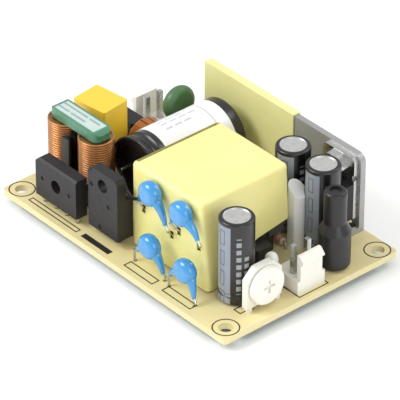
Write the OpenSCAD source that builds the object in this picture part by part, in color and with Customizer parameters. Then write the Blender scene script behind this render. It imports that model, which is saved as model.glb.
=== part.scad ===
// Open frame power supply on a 3 by 2 inch board: mains input at the left end, low voltage output at the right.
// Origin: centre of the four mounting holes, on the underside of the board. +X along the long edge, +Z up.

/* [Board] */
// Length of the board
board_l = 76.2; // [70:0.1:110]
// Width of the board
board_w = 50.8; // [48:0.1:75]
// Thickness of the board
board_t = 1.6; // [1.2:0.1:2.4]
// Distance of each mounting hole from its two edges
hole_inset = 3.175; // [3:0.005:4]
// Diameter of each mounting hole
hole_d = 3.3; // [3:0.1:3.6]
// Radius of the corners of the board
board_corner_r = 0.8; // [0.2:0.1:2]
// How far the clipped leads stand out below the board
lead_tail = 2; // [1.8:0.1:3]
// Height of the solder fillet round each lead
solder_h = 1.1; // [0.6:0.1:1.5]
// How far the solder fillet spreads round its lead
solder_spread = 0.65; // [0.4:0.05:0.8]
// Radial clearance of a lead in its hole
hole_gap = 0.15; // [0.1:0.05:0.2]

/* [Bridge rectifier] */
// Width of the body
bridge_w = 14.2; // [13:0.1:17]
// Height of the body
bridge_h = 10; // [8:0.1:12]
// Thickness of the body
bridge_t = 3.2; // [2.6:0.1:4]
// Height of the body above the board
bridge_standoff = 2; // [1:0.1:4]
// Distance between its leads
bridge_pitch = 3.8; // [3.5:0.05:4]
// Centre of the body from the left and front edges
bridge_at = [15.95, 4.35]; // [0:0.05:40]

/* [Switching transistor] */
// Width of the moulded package
switch_w = 10; // [9:0.1:11]
// Height of the moulded package
switch_h = 15.9; // [14:0.1:17]
// Thickness of the lower, thick part
switch_t = 4.5; // [4:0.1:5]
// Thickness of the upper part with the hole
switch_tab_t = 2.6; // [2:0.1:3]
// Height of the package above the board
switch_standoff = 2; // [1.5:0.1:4]
// Centre of its flat face from the left and front edges
switch_at = [30.9, 4]; // [0:0.05:60]

/* [Common mode choke] */
// Outside diameter of each coil
coil_d = 8.35; // [7.5:0.05:9]
// Thickness of the coil wire
coil_wire_d = 0.6; // [0.4:0.05:0.8]
// Distance between the two coils
coil_spacing = 10.65; // [10:0.05:12]
// Height of the coil rims above the board
coil_top = 16.4; // [12:0.1:18]
// Width of the ferrite core
choke_core_w = 5; // [4:0.1:6]
// Height of each bar of the ferrite core
choke_bar_h = 2.4; // [2:0.1:3]
// Diameter of the legs of the ferrite core
choke_leg_d = 3.8; // [3:0.1:4.5]
// Centre of the choke from the left and front edges
choke_at = [11.2, 14.1]; // [0:0.05:40]

/* [Film capacitor] */
// Width, thickness and height of the moulded box
film_size = [9.7, 7.9, 15.8]; // [6:0.1:18]
// Turn of the box on the board
film_turn = 7.5; // [0:0.5:10]
// Distance between its leads
film_pitch = 7.5; // [5:0.5:7.5]
// Centre of the box from the left and front edges
film_at = [5.5, 24.5]; // [0:0.05:40]

/* [Connectors] */
// Distance between contact positions
contact_pitch = 3.96; // [3.5:0.01:4]
// Width across the square contact pins
contact_w = 1.14; // [0.8:0.02:1.2]
// Height of the contact pins above the board
contact_h = 10.6; // [8:0.1:12]
// Depth of the connector base
connector_depth = 7.6; // [7:0.1:9]
// Height of the connector base
connector_base_h = 3.4; // [3:0.1:4.5]
// Height of the locking wall
connector_wall_h = 9.6; // [8:0.1:10]
// Thickness of the locking wall
connector_wall_t = 1.2; // [1:0.1:1.5]
// Outer face of the input connector and its middle, from the left and back edges
input_at = [1, 9.9]; // [0:0.05:40]
// Outer face of the output connector and its middle, from the right and front edges
output_at = [1.8, 26.6]; // [0:0.05:40]

/* [Toroid choke and thermistor] */
// Outside diameter of the wound toroid
toroid_d = 9.6; // [8:0.1:12]
// Width of the wound toroid
toroid_w = 4.8; // [4.5:0.1:6]
// Diameter of the free hole in the wound toroid
toroid_bore = 3; // [2.6:0.1:4]
// Thickness of the winding
toroid_wire_d = 0.8; // [0.5:0.05:1]
// Number of turns
toroid_turns = 16; // [8:1:20]
// Centre of the toroid from the left and back edges
toroid_at = [12.3, 17.8]; // [0:0.05:40]
// Diameter of the thermistor disc
thermistor_d = 8.6; // [7:0.1:11]
// Thickness of the thermistor disc
thermistor_t = 3.2; // [3:0.1:5]
// Height of the centre of the disc above the board
thermistor_height = 10; // [6:0.1:12]
// Centre of the thermistor from the left and back edges
thermistor_at = [10.7, 7.4]; // [0:0.05:40]

/* [Fuse] */
// Width, thickness and height of the fuse body
fuse_size = [8, 4, 7.6]; // [3:0.1:9]
// Distance between its leads
fuse_pitch = 5.08; // [4:0.01:6]
// Centre of the fuse from the left and back edges
fuse_at = [4.6, 17.5]; // [0:0.05:40]

/* [Bulk capacitor] */
// Diameter of the can with its sleeve
bulk_d = 16; // [14:0.1:18]
// Length of the can
bulk_l = 26.4; // [22:0.1:28]
// Height of the can above the board
bulk_clearance = 0.5; // [0.3:0.1:2]
// Distance between its leads
bulk_pitch = 7.5; // [5:0.5:8]
// Gap between the can and the transformer
bulk_gap = 3.7; // [1:0.1:6]
// Front end of the can behind the front face of the transformer
bulk_setback = 11.2; // [9:0.1:14]

/* [Transformer] */
// Width of the taped block across the board length
tr_l = 23.3; // [20:0.1:26]
// Length of the taped block across the board width
tr_w = 25.4; // [22:0.1:27]
// Height of the taped block above the board
tr_h = 22; // [18:0.1:26]
// Thickness of the tape wrap
tape_t = 0.35; // [0.2:0.05:0.5]
// Radius of the soft edges of the wrap
tape_r = 1.2; // [0.8:0.1:2]
// How far the wrap flares out at its lower right corner
tape_flare = 2.4; // [0:0.1:2.6]
// Width of each outer leg of the ferrite core
tr_leg_w = 4.8; // [4:0.1:6]
// Thickness of the top and bottom of the ferrite core
tr_slab_t = 2.6; // [2:0.1:3.5]
// Centre of the block from the middle of the board
tr_at = [9.25, -4.5]; // [-20:0.05:20]

/* [Safety capacitors] */
// Diameter of each disc
ycap_d = 6; // [5:0.1:7]
// Thickness of each disc
ycap_t = 3.4; // [2.6:0.1:4]
// Distance between the leads of a disc
ycap_pitch = 10; // [9:0.5:10]
// Thickness of the leads
ycap_lead_d = 0.6; // [0.5:0.05:0.7]

/* [Output capacitors] */
// Diameter of each can with its sleeve
cap_d = 8; // [6.5:0.1:9.6]
// Height of each can
cap_h = 21; // [16:0.1:25]
// Distance between the leads
cap_pitch = 3.5; // [2.5:0.5:5]
// Height of the cans above the board
cap_clearance = 0.4; // [0.2:0.1:1]

/* [Heatsink and output rectifier] */
// Thickness of the plate
heatsink_t = 1.5; // [1.2:0.1:2.5]
// Height of the plate above the board
heatsink_h = 20.2; // [18:0.1:25]
// Left end of the plate from the left edge
heatsink_from_left = 14; // [12:0.1:20]
// Right end of the plate from the right edge
heatsink_from_right = 10.6; // [8:0.1:20]
// Length of the tape cover on the left of the plate
heatsink_tape_l = 30.1; // [20:0.1:34]
// Width of the rectifier package
rectifier_w = 10.2; // [9.5:0.1:11]
// Height of the moulded body
rectifier_body_h = 9.2; // [8:0.1:10]
// Height of the metal tab above the body
rectifier_tab_h = 6.4; // [6:0.1:7]
// Thickness of the metal tab
rectifier_tab_t = 1.3; // [1:0.1:1.5]
// Thickness of the moulded body, tab included
rectifier_t = 4.4; // [4:0.1:4.8]
// Height of the body above the board
rectifier_standoff = 4; // [3:0.1:5]
// Centre of the rectifier from the right end of the plate
rectifier_from_end = 5.8; // [5.8:0.1:15]
// Diameter of the clamping screw
screw_d = 3; // [2.5:0.1:3.5]

/* [Output choke] */
// Diameter of the sleeved winding
output_choke_d = 7.4; // [6:0.1:8]
// Diameter of the neck above the winding
output_choke_neck_d = 5.2; // [4:0.1:6]
// Height of the sleeved winding
output_choke_h = 19.4; // [14:0.1:22]
// Height of the shoulder
output_choke_shoulder = 9; // [6:0.1:13]
// Centre of the choke from the right and back edges
output_choke_at = [5.3, 14.3]; // [0:0.05:40]

/* [Trimmer and lamp] */
// Diameter of the rotor disc
rotor_d = 9.1; // [7:0.1:9.6]
// Thickness of the rotor disc
rotor_t = 1.4; // [1:0.1:2]
// Diameter of the rotor spindle
spindle_d = 2.4; // [2:0.1:3]
// Radial clearance of the spindle in the housing
spindle_gap = 0.05; // [0.02:0.01:0.1]
// Width of the housing
trimmer_w = 10; // [9.6:0.1:11]
// Thickness of the housing plate
trimmer_t = 1.6; // [1.2:0.1:3]
// Height of the rotor centre above the board
trimmer_height = 5.8; // [5.5:0.1:7]
// Front face of the rotor and its centre, from the right and front edges
trimmer_at = [2.2, 14.75]; // [0:0.05:40]
// Diameter of the lamp
lamp_d = 3; // [2.8:0.1:3.2]
// Height of the lamp flange above the board
lamp_height = 4.8; // [1:0.1:6]
// Centre of the lamp from the right and front edges
lamp_at = [8.2, 20.7]; // [0:0.05:40]

/* [Small parts] */
// Centre of the shunt regulator from the right face of the transformer and from its front face
shunt_at = [2.8, 15]; // [2:0.1:20]
// Centre of the optocoupler from the left and back faces of the transformer
opto_at = [6.4, 6]; // [4:0.1:20]
// Thickness of the small leads
small_lead_d = 0.5; // [0.4:0.05:0.6]

/* [Hidden] */
$fn = 48;

left = -board_l / 2;
right = board_l / 2;
front = -board_w / 2;
back = board_w / 2;
function from_left_front(p) = [left + p[0], front + p[1]];
function from_left_back(p) = [left + p[0], back - p[1]];
function from_right_front(p) = [right - p[0], front + p[1]];
function from_right_back(p) = [right - p[0], back - p[1]];
function in_3d(p, z) = [p[0], p[1], z];

// Clearance of parts that are pushed together, and the smallest gap that keeps two pieces apart
fit = 0.05;
apart = 0.2;

// Film of glue between the two halves of a ferrite core
core_gap = 0.05;

// Bridge rectifier
bridge_c = from_left_front(bridge_at);
bridge_lead_d = 0.8;
bridge_leads_at = [for (i = [-1.5:1:1.5]) bridge_c + [i * bridge_pitch, 0]];
bridge_hole_d = 3.2;

// Switching transistor
switch_c = from_left_front(switch_at);
switch_pitch = 2.54;
switch_lead = [0.75, 0.5];
switch_leads_at = [for (i = [-1:1]) switch_c + [i * switch_pitch, 2.6]];
switch_hole_d = 3.2;
switch_hole_drop = 3.4;
switch_tab_h = 6.3;

// Common mode choke
choke_c = from_left_front(choke_at);
choke_pin_d = 0.8;
choke_rail_z = 0.5;
choke_rail_y = [2.7, 4.5];
choke_rail_h = 4.3;
choke_flange_t = 0.6;
choke_sleeve_d = choke_leg_d + 2 * fit + 1;
choke_flange_z = choke_rail_z + choke_rail_h;
choke_core_z = choke_flange_z - choke_bar_h - fit;
choke_core_top = coil_top + fit + choke_bar_h;
choke_pins_at = [for (x = [-1, 1], y = [-1, 1])
    choke_c + [x * 0.66 * coil_spacing, y * (choke_rail_y[0] + choke_rail_y[1]) / 2]];

// Film capacitor
film_c = from_left_front(film_at);
film_lead_d = 0.6;
film_standoff = 0.6;
film_leads_at = [for (i = [-0.5, 0.5]) film_c + i * film_pitch * [cos(film_turn), sin(film_turn)]];

// Connectors: each has two contacts
contact_inset = 3.6;
connector_l = 2 * contact_pitch;
input_c = from_left_back(input_at);
output_c = from_right_front(output_at);
input_pins_at = [for (i = [-0.5, 0.5]) input_c + [contact_inset, i * contact_pitch]];
output_pins_at = [for (i = [-0.5, 0.5]) output_c + [-contact_inset, i * contact_pitch]];

// Toroid choke
toroid_c = from_left_back(toroid_at);
toroid_z = board_t + 0.5 + toroid_d / 2;
toroid_leads_at = [for (i = [-1, 1]) toroid_c + i * [0.3 * toroid_w, 0.25 * toroid_d]];

// Thermistor
thermistor_c = from_left_back(thermistor_at);
thermistor_lead_d = 0.7;
thermistor_leads_at = [for (i = [-1, 1]) thermistor_c + i * [0.9, 2.5]];

// Fuse
fuse_c = from_left_back(fuse_at);
fuse_lead_d = 0.6;
fuse_standoff = 0.4;
fuse_leads_at = [for (i = [-0.5, 0.5]) fuse_c + [i * fuse_pitch, 0]];

// Transformer block
tr_c = tr_at;
tr_left = tr_c[0] - tr_l / 2;
tr_right = tr_c[0] + tr_l / 2;
tr_front = tr_c[1] - tr_w / 2;
tr_back = tr_c[1] + tr_w / 2;
tr_core_z = 4.4;
tr_core_top = tr_h - tape_t - 0.65;
tr_core_r = 0.9;
tr_core_l = tr_l - 2 * tape_t - apart;
tr_core_front = tr_front + tape_t + ycap_lead_d + apart;
tr_core_back = tr_back - tape_t - fit;
tr_core_w = tr_core_back - tr_core_front;
tr_core_mid = (tr_core_front + tr_core_back) / 2;
tr_window_w = tr_core_w - 2 * tr_leg_w;
tr_waist = 3;
tr_post_d = 9;
tr_tube_d = tr_post_d + 2 * fit + 1.4;
tr_flange_t = 0.6;
tr_pin_d = 0.8;
tr_pin_pitch = 3.5;
tr_rail_w = 2.6;
tr_pin_x = tr_core_l / 2 - tr_rail_w / 2;
tr_pins_at = [for (x = [-1, 1], i = [-2:2]) [tr_c[0] + x * tr_pin_x, tr_core_mid + i * tr_pin_pitch]];

// Bulk capacitor, lying along the board's width
bulk_c = [tr_left - bulk_gap - bulk_d / 2, tr_front + bulk_setback];
bulk_z = board_t + bulk_clearance + bulk_d / 2;
bulk_lead_d = 0.8;
bulk_lead_reach = 2.2;
bulk_slant = [0.968, 0.25];
bulk_leads = [for (i = [-0.5, 0.5]) i * bulk_pitch * bulk_slant];
bulk_leads_at = [for (lead = bulk_leads) bulk_c + [lead[0], -bulk_lead_reach]];

// Safety capacitors: head, left lead, right lead, left tail and right tail, from the transformer's front left corner
ycaps = [
    [[8.85, -2.0, 18.65], [4.2, 0.78], [13.6, 0.78], [5.0, -1.6, 14.6], [13.5, -1.7, 12.6]],
    [[19.0, -2.0, 18.65], [16.0, 0.78], [22.6, 0.78], [15.7, -1.6, 14.8], [24.2, -1.7, 14.2]],
    [[11.15, -4.2, 6.9], [5.6, -3.7], [15.6, -3.7], [6.9, -4.0, 3.6], [15.3, -3.9, 1.8]],
    [[23.0, -4.2, 6.7], [17.8, -4.3], [27.0, -4.9], [18.2, -4.3, 3.2], [26.5, -4.7, 1.6]]
];
ycap_corner = [tr_left, tr_front, board_t];
ycap_slot_w = 1.3;
ycap_tip_r = 0.5;
ycap_steps = 8;
ycap_leads_at = [for (c = ycaps, i = [1, 2]) [tr_left + c[i][0], tr_front + c[i][1]]];

// Output capacitors
cap_lead_d = 0.6;
caps_at = [
    [tr_right + 0.3 - cap_d / 2 - 1.9, tr_back + 2.3 + cap_d / 2],
    [tr_right + 0.3 + cap_d / 2, tr_back + 2.2 + cap_d / 2],
    [tr_right + 3.1 + cap_d / 2, tr_front + cap_d / 2]
];
cap_leads_at = [for (c = caps_at, i = [-0.5, 0.5]) c + [0, i * cap_pitch]];

// Heatsink: an upright plate with two bent feet
heatsink_x = [left + heatsink_from_left, right - heatsink_from_right];
heatsink_y = back - tape_t - heatsink_t;
foot_w = 2.4;
foot_depth = 2.6;
foot_pin_d = 1.2;
foot_pin_head_d = 1.7 * foot_pin_d;
feet_x = [heatsink_x[0] + foot_w / 2, heatsink_x[1] - foot_w / 2];
feet_at = [for (x = feet_x) [x, heatsink_y - foot_pin_head_d / 2 - 0.1]];

// Output rectifier
rectifier_x = heatsink_x[1] - rectifier_from_end;
rectifier_pitch = 2.54;
rectifier_lead = [0.8, 0.5];
rectifier_leads_at = [for (i = [-1:1]) [rectifier_x + i * rectifier_pitch, heatsink_y - 2.5]];
rectifier_hole_drop = 2.8;
rectifier_top = board_t + rectifier_standoff + rectifier_body_h + rectifier_tab_h;
screw_z = rectifier_top - rectifier_hole_drop;
screw_head_d = 1.85 * screw_d;
screw_head_h = heatsink_t - 0.2;
nut_w = 1.83 * screw_d;
nut_h = 0.8 * screw_d;

// Output choke
output_choke_c = from_right_back(output_choke_at);
output_choke_lead_d = 0.9;
output_choke_leads_at = [for (i = [-1.6, 1.6]) output_choke_c + [0, i]];

// Trimmer: the rotor turns about an axis along X
trimmer_c = from_right_front(trimmer_at);
trimmer_z = board_t + trimmer_height;
rotor_gap = 0.2;
housing_x = trimmer_c[0] - rotor_t - rotor_gap - trimmer_t;
trimmer_leads_at = [for (i = [-1:1]) [housing_x + trimmer_t / 2, trimmer_c[1] + i * 2.5]];

// Indicator lamp
lamp_c = from_right_front(lamp_at);
lamp_leads_at = [for (i = [-0.5, 0.5]) lamp_c + [i * 2.54, 0]];

// Small parts
shunt_c = [tr_right + shunt_at[0], tr_front + shunt_at[1]];
shunt_leads_at = [for (i = [-1:1]) shunt_c + [0, i * 1.6]];
resistor_c = [tr_right - 2.3, tr_back - 0.9];
resistor_span = 5.4;
resistor_leads_at = [for (i = [-0.5, 0.5]) resistor_c + [i * resistor_span, 0]];
opto_c = [tr_left + opto_at[0], tr_back + opto_at[1]];
opto_leads_at = [for (x = [-1, 1], y = [-1, 1]) opto_c + [x * 3.81, y * 1.27]];
chip_c = [tr_c[0], tr_c[1] + 6];

// Every hole that a lead passes through: its place and the lead's width
lead_holes = concat(
    [for (p = bridge_leads_at) [p, bridge_lead_d]],
    [for (p = switch_leads_at) [p, norm(switch_lead)]],
    [for (p = choke_pins_at) [p, choke_pin_d]],
    [for (p = film_leads_at) [p, film_lead_d]],
    [for (p = concat(input_pins_at, output_pins_at)) [p, contact_w * sqrt(2)]],
    [for (p = toroid_leads_at) [p, toroid_wire_d]],
    [for (p = thermistor_leads_at) [p, thermistor_lead_d]],
    [for (p = fuse_leads_at) [p, fuse_lead_d]],
    [for (p = tr_pins_at) [p, tr_pin_d]],
    [for (p = bulk_leads_at) [p, bulk_lead_d]],
    [for (p = ycap_leads_at) [p, ycap_lead_d]],
    [for (p = cap_leads_at) [p, cap_lead_d]],
    [for (p = feet_at) [p, foot_pin_d]],
    [for (p = rectifier_leads_at) [p, norm(rectifier_lead)]],
    [for (p = output_choke_leads_at) [p, output_choke_lead_d]],
    [for (p = concat(trimmer_leads_at, lamp_leads_at, shunt_leads_at)) [p, small_lead_d]],
    [for (p = concat(resistor_leads_at, opto_leads_at)) [p, small_lead_d]]
);

// Shared shapes

// A rectangle with round corners, its lower left corner at the origin
module round_rect(w, h, r) {
    translate([r, 0]) square([w - 2 * r, h]);
    translate([0, r]) square([w, h - 2 * r]);
    for (x = [r, w - r], y = [r, h - r]) {
        translate([x, y]) circle(r);
    }
}

// An upright block with round vertical edges, centred on x and y
module round_block(size, r) {
    linear_extrude(size[2]) translate([-size[0] / 2, -size[1] / 2]) round_rect(size[0], size[1], r);
}

// The fillet of solder where a lead leaves the board
module solder(at, d) {
    translate(in_3d(at, -solder_h)) cylinder(r1 = d / 2 + 0.1, r2 = d / 2 + solder_spread, h = solder_h);
}

// A straight round lead, from its clipped end up to a height above the board
module round_lead(at, d, z) {
    translate(in_3d(at, -lead_tail)) cylinder(d = d, h = lead_tail + board_t + z);
    solder(at, d);
}

// A straight flat or square lead
module flat_lead(at, size, z) {
    translate(in_3d(at - size / 2, -lead_tail)) cube([size[0], size[1], lead_tail + board_t + z]);
    solder(at, norm(size));
}

// Points on the curve from a to c that bends towards b
function curve(a, b, c, n) = [for (i = [0:n]) let (t = i / n) (1 - t) ^ 2 * a + 2 * t * (1 - t) * b + t ^ 2 * c];

// The direction of a path at one of its points
function heading(path, i) = let (d = path[min(i + 1, len(path) - 1)] - path[max(i - 1, 0)]) d / norm(d);

// A round tube along a path that runs mostly across the Y axis, with one radius for each point
module tube(path, radii, sides) {
    last = len(path) - 1;
    points = [for (i = [0:last], k = [0:sides - 1])
        let (t = heading(path, i), u = cross(t, [0, 1, 0]) / norm(cross(t, [0, 1, 0])), v = cross(u, t))
        path[i] + radii[i] * (cos(360 * k / sides) * u + sin(360 * k / sides) * v)];
    walls = [for (i = [0:last - 1], k = [0:sides - 1])
        let (n = (k + 1) % sides) [i * sides + k, i * sides + n, (i + 1) * sides + n, (i + 1) * sides + k]];
    start = [for (k = [0:sides - 1]) sides - 1 - k];
    end = [for (k = [0:sides - 1]) last * sides + k];
    polyhedron(points, concat([start], walls, [end]), convexity = 4);
}

// Half section of a sleeved can: rolled edges, a groove near the sealed end and a rim round the flat top
module can_section(d, h, groove_z) {
    edge = 0.06 * d;
    rim = 0.13 * d;
    step = 0.025 * d;
    groove_r = 0.09 * d;
    difference() {
        union() {
            translate([0, edge]) square([d / 2, h - 2 * edge]);
            square([d / 2 - edge, h]);
            for (z = [edge, h - edge]) {
                translate([d / 2 - edge, z]) circle(edge);
            }
        }
        translate([d / 2 + 0.6 * groove_r, groove_z]) circle(groove_r);
        translate([-1, h - step]) square([1 + d / 2 - rim, step + 1]);
        translate([-1, -1]) square([1 + d / 2 - rim, step + 1]);
    }
}

// Board

module circuit_board() {
    color([0.91, 0.86, 0.66]) difference() {
        linear_extrude(board_t) translate([left, front]) round_rect(board_l, board_w, board_corner_r);
        for (x = [left + hole_inset, right - hole_inset], y = [front + hole_inset, back - hole_inset]) {
            translate([x, y, -1]) cylinder(d = hole_d, h = board_t + 2);
        }
        for (hole = lead_holes) {
            translate(in_3d(hole[0], -1)) cylinder(d = hole[1] + 2 * hole_gap, h = board_t + 2, $fn = 24);
        }
    }
}

// Input side

module bridge_rectifier() {
    bevel = 0.5;
    corner = 1;
    color([0.19, 0.19, 0.2]) translate(in_3d(bridge_c, board_t + bridge_standoff)) difference() {
        intersection() {
            translate([0, bridge_t / 2, 0]) rotate([90, 0, 0]) linear_extrude(bridge_t)
                polygon([[-bridge_w / 2, 0], [bridge_w / 2, 0], [bridge_w / 2, bridge_h],
                    [corner - bridge_w / 2, bridge_h], [-bridge_w / 2, bridge_h - corner]]);
            translate([-bridge_w / 2, 0, 0]) rotate([90, 0, 90]) linear_extrude(bridge_w)
                polygon([[-bridge_t / 2, 0], [bridge_t / 2, 0], [bridge_t / 2, bridge_h],
                    [bevel - bridge_t / 2, bridge_h], [-bridge_t / 2, bridge_h - bevel]]);
        }
        translate([0, bridge_t, 0.52 * bridge_h]) rotate([90, 0, 0]) cylinder(d = bridge_hole_d, h = 2 * bridge_t);
        for (x = [-0.33, 0.33]) {
            translate([x * bridge_w, apart - bridge_t / 2, 0.52 * bridge_h]) rotate([90, 0, 0])
                cylinder(d = 1, h = 1);
        }
    }
}

module bridge_leads() {
    shoulder = [1.3, 0.7];
    color([0.75, 0.75, 0.73]) for (p = bridge_leads_at) {
        round_lead(p, bridge_lead_d, bridge_standoff);
        translate(in_3d(p - shoulder / 2, board_t + 0.5)) cube([shoulder[0], shoulder[1], bridge_standoff - 0.5]);
    }
}

module switch_transistor() {
    notch = [1.5, 1];
    hole_z = switch_h - switch_hole_drop;
    color([0.2, 0.2, 0.21]) translate(in_3d(switch_c, board_t + switch_standoff)) difference() {
        intersection() {
            translate([0, switch_t, 0]) rotate([90, 0, 0]) linear_extrude(switch_t)
                polygon([[-switch_w / 2, 0], [switch_w / 2, 0], [switch_w / 2, switch_h - notch[1]],
                    [switch_w / 2 - notch[0] / 2, switch_h], [notch[0] - switch_w / 2, switch_h],
                    [notch[0] - switch_w / 2, switch_h - notch[1]], [-switch_w / 2, switch_h - 1.2 * notch[1]]]);
            translate([-switch_w / 2, 0, 0]) rotate([90, 0, 90]) linear_extrude(switch_w)
                polygon([[0, 0], [switch_t, 0], [switch_t, switch_h - switch_tab_h],
                    [switch_tab_t, switch_h - switch_tab_h + 0.6], [switch_tab_t, switch_h], [0, switch_h]]);
        }
        translate([0, switch_t, hole_z]) rotate([90, 0, 0]) cylinder(d = switch_hole_d, h = 2 * switch_t);
        for (p = [[-0.37, 0.72], [0.2, 0.5], [-0.1, 0.08]]) {
            translate([p[0] * switch_w, apart, p[1] * switch_h]) rotate([90, 0, 0]) cylinder(d = 1.1, h = 1);
        }
    }
}

module switch_leads() {
    shoulder = [1.3, switch_lead[1]];
    color([0.75, 0.75, 0.73]) for (p = switch_leads_at) {
        flat_lead(p, switch_lead, switch_standoff);
        translate(in_3d(p - shoulder / 2, board_t + 0.4)) cube([shoulder[0], shoulder[1], switch_standoff - 0.4]);
    }
}

// One U of the choke core, its bar standing on z = 0 and its legs rising to h
module choke_u(h) {
    bar_l = coil_spacing + choke_leg_d + 2.2;
    chamfer = 0.8;
    intersection() {
        translate([0, choke_core_w / 2, 0]) rotate([90, 0, 0]) linear_extrude(choke_core_w)
            polygon([[chamfer - bar_l / 2, 0], [bar_l / 2 - chamfer, 0], [bar_l / 2, chamfer],
                [bar_l / 2, choke_bar_h], [-bar_l / 2, choke_bar_h], [-bar_l / 2, chamfer]]);
        round_block([bar_l, choke_core_w, choke_bar_h], 1.6);
    }
    for (x = [-1, 1]) {
        translate([x * coil_spacing / 2, 0, choke_bar_h]) cylinder(d = choke_leg_d, h = h - choke_bar_h);
    }
}

module choke_core() {
    half = (choke_core_top - choke_core_z - core_gap) / 2;
    color([0.31, 0.54, 0.42]) translate(in_3d(choke_c, board_t)) {
        translate([0, 0, choke_core_z]) choke_u(half);
        translate([0, 0, choke_core_top]) mirror([0, 0, 1]) choke_u(half);
    }
}

module choke_bobbin() {
    flange_l = coil_spacing + coil_d - 1.2;
    rail_l = flange_l - 1;
    divider_w = 0.8;
    divider_y = coil_d / 2 + 0.4;
    sleeve_top = choke_core_top - choke_bar_h - fit;
    color([0.1, 0.1, 0.11]) translate(in_3d(choke_c, board_t)) difference() {
        union() {
            for (side = [-1, 1]) {
                translate([-rail_l / 2, side > 0 ? choke_rail_y[0] : -choke_rail_y[1], choke_rail_z])
                    cube([rail_l, choke_rail_y[1] - choke_rail_y[0], choke_rail_h]);
            }
            translate([0, 0, choke_flange_z]) round_block([flange_l, 2 * divider_y, choke_flange_t], 3);
            for (x = [-1, 1]) {
                translate([x * coil_spacing / 2, 0, choke_flange_z])
                    cylinder(d = choke_sleeve_d, h = sleeve_top - choke_flange_z);
            }
            translate([-divider_w / 2, -divider_y, choke_rail_z]) cube([divider_w, 2 * divider_y, coil_top - 2]);
            for (y = [-divider_y, -0.62 * divider_y, 0.62 * divider_y - 0.5, divider_y - 0.5]) {
                translate([-1.5 * divider_w, y, choke_flange_z]) cube([3 * divider_w, 0.5, coil_top - 2 - choke_rail_h]);
            }
        }
        for (x = [-1, 1]) {
            translate([x * coil_spacing / 2, 0, 0]) cylinder(d = choke_leg_d + 2 * fit, h = choke_core_top);
        }
        translate([-flange_l, -choke_core_w / 2 - fit, -1]) cube([2 * flange_l, choke_core_w + 2 * fit, choke_flange_z + 1]);
    }
}

// A coil of closely wound turns in one layer
module choke_coil(side) {
    bottom = choke_flange_z + choke_flange_t + fit;
    turns = floor((coil_top - bottom) / coil_wire_d);
    pitch = (coil_top - bottom - coil_wire_d) / (turns - 1);
    color([0.75, 0.48, 0.3]) translate(in_3d(choke_c + [side * coil_spacing / 2, 0], board_t + bottom))
        rotate_extrude() {
            translate([choke_sleeve_d / 2 + fit, coil_wire_d / 2])
                square([(coil_d - coil_wire_d - choke_sleeve_d) / 2 - fit, coil_top - bottom - coil_wire_d]);
            for (i = [0:turns - 1]) {
                translate([(coil_d - coil_wire_d) / 2, coil_wire_d / 2 + i * pitch]) circle(d = 1.04 * coil_wire_d, $fn = 24);
            }
        }
}

module choke_coil_left() {
    choke_coil(-1);
}

module choke_coil_right() {
    choke_coil(1);
}

module choke_pins() {
    color([0.75, 0.75, 0.73]) for (p = choke_pins_at) {
        round_lead(p, choke_pin_d, choke_rail_z);
    }
}

module film_capacitor() {
    foot = 1.2;
    color([0.93, 0.78, 0.25]) translate(in_3d(film_c, board_t)) rotate([0, 0, film_turn]) {
        translate([0, 0, film_standoff]) round_block([film_size[0], film_size[1], film_size[2]], 0.5);
        for (x = [-1, 1], y = [-1, 1]) {
            translate([x * (film_size[0] / 2 - foot), y * (film_size[1] / 2 - foot), 0])
                cylinder(d = foot, h = film_standoff);
        }
    }
}

module film_capacitor_leads() {
    color([0.75, 0.75, 0.73]) for (p = film_leads_at) {
        round_lead(p, film_lead_d, film_standoff);
    }
}

// A two way header, its outer face on x = 0 and its base towards -x
module connector() {
    ridge = 0.7;
    wall_l = connector_l - 1.6;
    groove = 1.2;
    difference() {
        union() {
            translate([-connector_depth, -connector_l / 2, 0]) cube([connector_depth, connector_l, connector_base_h]);
            translate([0, wall_l / 2, 0]) rotate([90, 0, 0]) linear_extrude(wall_l)
                polygon([[-connector_wall_t, 1], [-connector_wall_t, connector_wall_h],
                    [-0.4 * connector_wall_t, connector_wall_h], [ridge, connector_wall_h - 1.3],
                    [ridge, connector_wall_h - 1.7], [0, connector_wall_h - 2.4], [0, 1]]);
        }
        for (i = [-0.5, 0.5]) {
            translate([-contact_inset - contact_w / 2 - fit, i * contact_pitch - contact_w / 2 - fit, -1])
                cube([contact_w + 2 * fit, contact_w + 2 * fit, connector_base_h + 2]);
        }
        for (y = [-connector_l / 2, connector_l / 2 - groove]) {
            translate([-connector_depth - 1, y, -1]) cube([2.2, groove, connector_base_h + 2]);
        }
        translate([-connector_depth / 2 - 0.6, -connector_l, -1]) cube([connector_depth / 4, 2 * connector_l, 1.3]);
    }
}

module input_connector() {
    color([0.94, 0.93, 0.88]) translate(in_3d(input_c, board_t)) mirror([1, 0, 0]) connector();
}

module input_connector_pins() {
    color([0.8, 0.8, 0.78]) for (p = input_pins_at) {
        flat_lead(p, [contact_w, contact_w], contact_h);
    }
}

module toroid_core() {
    shell = toroid_wire_d + fit;
    color([0.2, 0.22, 0.2]) translate(in_3d(toroid_c, toroid_z)) rotate([0, 90, 0])
        translate([0, 0, shell - toroid_w / 2]) rotate_extrude() translate([toroid_bore / 2 + shell, 0])
            square([(toroid_d - toroid_bore) / 2 - 2 * shell, toroid_w - 2 * shell]);
}

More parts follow.
